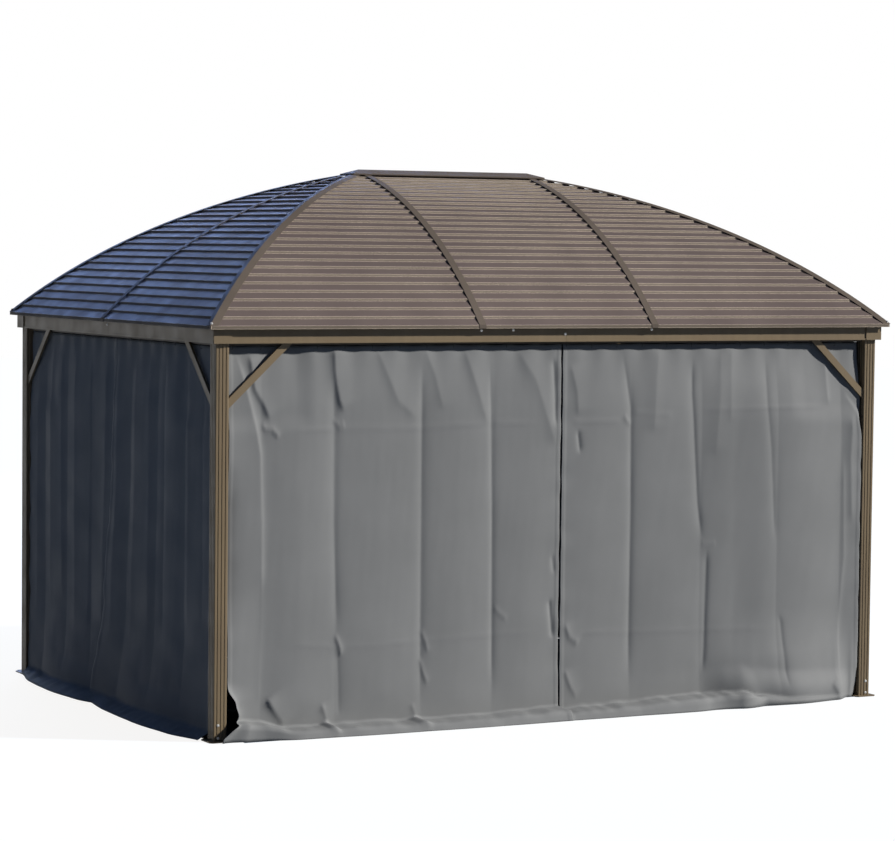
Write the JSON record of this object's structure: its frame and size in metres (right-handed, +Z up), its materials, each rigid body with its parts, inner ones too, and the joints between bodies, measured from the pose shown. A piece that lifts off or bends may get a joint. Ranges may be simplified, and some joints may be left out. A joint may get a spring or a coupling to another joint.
{
  "type": "metal gazebo",
  "caption": "Garden gazebo with fluted posts on base plates, box beams and knee braces under a domed, ribbed steel hip roof, with full-length curtains drawn on every side.",
  "frame": {"origin": "on the ground, under the middle of the roof", "axes": "+X along the long side to the right seen from the front, the front faces -Y, +Z up"},
  "size_m": [4.274, 3.004, 3.0221],
  "materials": {
    "frame_paint": "satin powder coat, bronze",
    "roof_paint": "satin baked enamel, brown",
    "cover_paint": "satin baked enamel, brown",
    "rail_aluminium": "bronze anodised",
    "curtain_cloth": "grey woven polyester"
  },
  "bodies": {
    "root": {"front_left_foot": "frame_paint", "front_right_foot": "frame_paint", "back_left_foot": "frame_paint", "back_right_foot": "frame_paint", "front_left_post": "frame_paint", "front_right_post": "frame_paint", "back_left_post": "frame_paint", "back_right_post": "frame_paint", "front_left_block": "frame_paint", "front_right_block": "frame_paint", "back_left_block": "frame_paint", "back_right_block": "frame_paint", "front_beam": "frame_paint", "back_beam": "frame_paint", "left_beam": "frame_paint", "right_beam": "frame_paint", "front_left_braces": "frame_paint", "front_right_braces": "frame_paint", "back_left_braces": "frame_paint", "back_right_braces": "frame_paint", "curtain_rails": "rail_aluminium", "front_left_hip_rafter": "frame_paint", "front_right_hip_rafter": "frame_paint", "back_left_hip_rafter": "frame_paint", "back_right_hip_rafter": "frame_paint", "front_rafters": "frame_paint", "back_rafters": "frame_paint", "left_rafter": "frame_paint", "right_rafter": "frame_paint", "ridge_beam": "frame_paint", "front_left_sheet": "roof_paint", "front_middle_sheet": "roof_paint", "front_right_sheet": "roof_paint", "back_left_sheet": "roof_paint", "back_middle_sheet": "roof_paint", "back_right_sheet": "roof_paint", "left_front_sheet": "roof_paint", "left_back_sheet": "roof_paint", "right_front_sheet": "roof_paint", "right_back_sheet": "roof_paint", "front_left_hip_cover": "cover_paint", "front_right_hip_cover": "cover_paint", "back_left_hip_cover": "cover_paint", "back_right_hip_cover": "cover_paint", "front_strips": "cover_paint", "back_strips": "cover_paint", "left_strip": "cover_paint", "right_strip": "cover_paint", "ridge_cover": "cover_paint", "front_left_curtain": "curtain_cloth", "front_right_curtain": "curtain_cloth", "back_left_curtain": "curtain_cloth", "back_right_curtain": "curtain_cloth", "left_front_curtain": "curtain_cloth", "left_back_curtain": "curtain_cloth", "right_front_curtain": "curtain_cloth", "right_back_curtain": "curtain_cloth"}
  },
  "joints": []
}
